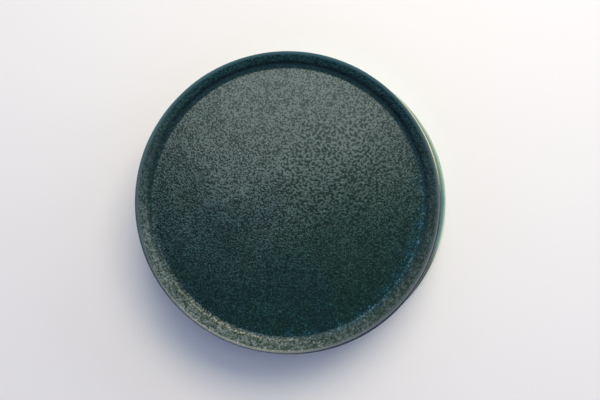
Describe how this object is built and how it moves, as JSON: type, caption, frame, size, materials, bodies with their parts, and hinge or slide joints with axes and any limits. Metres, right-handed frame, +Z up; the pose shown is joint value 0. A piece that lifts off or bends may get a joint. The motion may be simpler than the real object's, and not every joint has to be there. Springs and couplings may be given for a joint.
{
  "type": "inkwell",
  "caption": "Round stoneware inkwell: a shallow ink bowl with a tray-shaped lid, standing off-centre on a low-rimmed saucer.",
  "frame": {"origin": "middle of the saucer's flat base, on the surface it stands on", "axes": "+Z up; the bowl and its lid are pushed towards -X, so the saucer shows past them on the +X side"},
  "size_m": [0.1384, 0.1334, 0.0403],
  "materials": {
    "saucer_glaze": "glossy celadon glaze that breaks to cream on its edges, over stoneware",
    "bowl_glaze": "satin dark teal reactive glaze, bare stoneware on the foot and the lid seat",
    "lid_glaze": "satin dark teal reactive glaze, finely speckled, cobalt where it pools, brown where it breaks on the lip"
  },
  "bodies": {
    "saucer": {"saucer": "saucer_glaze"},
    "ink_bowl": {"ink_bowl": "bowl_glaze"},
    "lid": {"lid": "lid_glaze"}
  },
  "joints": [
    {"name": "bowl_lift", "type": "slide", "parent": "saucer", "child": "ink_bowl", "axis": [0, 0, 1], "range_m": [0, 0.05]},
    {"name": "lid_lift", "type": "slide", "parent": "ink_bowl", "child": "lid", "axis": [0, 0, 1], "range_m": [0, 0.06]}
  ]
}
